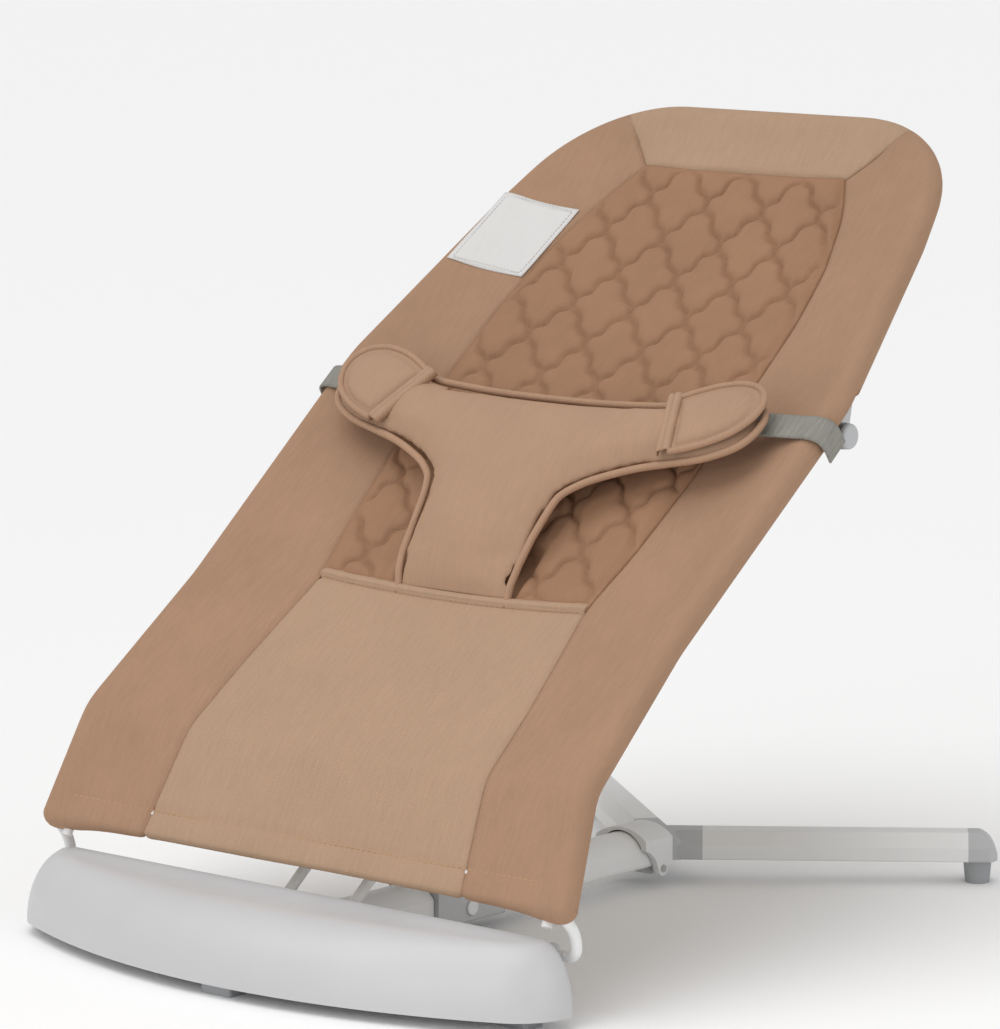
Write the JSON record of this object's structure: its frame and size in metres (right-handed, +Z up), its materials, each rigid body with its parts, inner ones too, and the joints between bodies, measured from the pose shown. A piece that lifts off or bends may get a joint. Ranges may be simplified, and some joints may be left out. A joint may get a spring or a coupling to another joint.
{
  "type": "bouncer seat",
  "caption": "Folding baby bouncer: tan fabric sling with quilted panel and padded restraint on a spring wire frame, crescent front base, beam and folding rear legs.",
  "frame": {"origin": "on the floor, at the middle of the object's length and width", "axes": "+Z up, +Y from the foot end to the head end, +X to the side; the object is symmetrical about X = 0"},
  "size_m": [0.463, 0.6102, 0.5302],
  "materials": {
    "base_plastic": "satin moulded light grey",
    "white_plastic": "satin moulded white",
    "white_steel": "white powder coat",
    "hub_plastic": "mid grey moulded",
    "black_plastic": "black moulded",
    "foot_rubber": "soft grey pads",
    "steel_zinc": "zinc plated",
    "fabric_side": "tan knitted spacer fabric",
    "fabric_panel": "lighter tan fine twill",
    "fabric_quilt": "tan soft fabric, quilted in wavy diamonds",
    "fabric_restraint": "tan soft padded fabric with bound edges",
    "fabric_lining": "beige-grey woven lining",
    "webbing": "grey ribbed webbing",
    "label_cloth": "blank white woven label"
  },
  "bodies": {
    "base": {"base_shell": "base_plastic", "base_bottom_plate": "base_plastic", "base_screws": "steel_zinc", "front_foot_centre": "foot_rubber", "front_foot_left": "foot_rubber", "front_foot_right": "foot_rubber", "wire_clips": "hub_plastic", "beam_tube": "white_steel", "beam_front_channel": "white_plastic", "beam_end_plug": "hub_plastic", "rear_pivot_pin": "steel_zinc"},
    "sleeve": {"slide_sleeve": "hub_plastic", "sleeve_link_pin": "steel_zinc", "latch_pin": "steel_zinc"},
    "latch": {"latch_lever": "black_plastic"},
    "button_left": {"release_button_left": "white_plastic"},
    "button_right": {"release_button_right": "white_plastic"},
    "links": {"recline_link_left": "steel_zinc", "recline_link_right": "steel_zinc"},
    "wire_frame": {"crossbar_left": "white_steel", "crossbar_right": "white_steel", "bracket_arm_left": "white_steel", "bracket_arm_right": "white_steel", "arm_bracket": "hub_plastic", "bracket_pin": "steel_zinc"},
    "seat": {"upright_left": "white_steel", "upright_right": "white_steel", "side_tube_left": "white_steel", "side_tube_right": "white_steel", "hem_rod": "white_steel", "hem_rod_tips": "white_steel", "waist_hinge_lower_left": "steel_zinc", "waist_hinge_lower_right": "steel_zinc", "waist_shaft": "white_steel", "hinge_cover_left": "hub_plastic", "hinge_cover_right": "hub_plastic", "seat_fabric_lower": "fabric_side", "quilted_pad_lower": "fabric_quilt", "restraint_bolster": "fabric_restraint", "strap_left": "webbing", "strap_right": "webbing"},
    "backrest": {"waist_hinge_upper_left": "steel_zinc", "waist_hinge_upper_right": "steel_zinc", "back_tube_left": "white_steel", "back_tube_right": "white_steel", "head_bow": "white_steel", "seat_fabric_back": "fabric_side", "quilted_pad_back": "fabric_quilt", "sewn_label": "label_cloth"},
    "rear_legs": {"rear_hub": "hub_plastic", "rear_collar": "white_plastic", "rear_collar_screws": "steel_zinc", "leg_tube_left": "white_steel", "leg_tube_right": "white_steel", "leg_end_cap_left": "hub_plastic", "leg_end_cap_right": "hub_plastic", "rear_foot_left": "foot_rubber", "rear_foot_right": "foot_rubber"}
  },
  "joints": [
    {"name": "recline", "type": "hinge", "parent": "base", "child": "wire_frame", "pos_m": [0, -0.2004, 0.0411], "axis": [1, 0, 0], "range_deg": [-34, 0]},
    {"name": "bounce", "type": "hinge", "parent": "wire_frame", "child": "seat", "pos_m": [0, -0.2004, 0.0411], "axis": [1, 0, 0], "range_deg": [-4, 4], "stiffness_Nm_per_rad": 320, "springref_deg": 0.69},
    {"name": "backrest_fold", "type": "hinge", "parent": "seat", "child": "backrest", "pos_m": [0, 0.08599, 0.33877], "axis": [1, 0, 0], "range_deg": [-178, 0]},
    {"name": "rear_leg_fold", "type": "hinge", "parent": "base", "child": "rear_legs", "pos_m": [0, 0.133, 0.0138], "axis": [-1, 0, 0], "range_deg": [0, 178]},
    {"name": "sleeve_slide", "type": "slide", "parent": "base", "child": "sleeve", "axis": [0, 1, 0], "range_m": [0, 0.0305]},
    {"name": "link_swing", "type": "hinge", "parent": "sleeve", "child": "links", "pos_m": [0, -0.084, 0.049], "axis": [1, 0, 0], "range_deg": [0, 35]},
    {"name": "button_left_press", "type": "slide", "parent": "sleeve", "child": "button_left", "axis": [1, 0, 0], "range_m": [0, 0.0025], "stiffness_N_per_m": 400},
    {"name": "button_right_press", "type": "slide", "parent": "sleeve", "child": "button_right", "axis": [-1, 0, 0], "range_m": [0, 0.0025], "stiffness_N_per_m": 400},
    {"name": "latch_release", "type": "hinge", "parent": "sleeve", "child": "latch", "pos_m": [0, -0.052, 0.0106], "axis": [1, 0, 0], "range_deg": [-6, 0], "stiffness_Nm_per_rad": 0.4}
  ],
  "couplings": [
    {"joint": "sleeve_slide", "follows": "recline", "m_per_rad": -0.0509},
    {"joint": "link_swing", "follows": "recline", "ratio": -1}
  ]
}
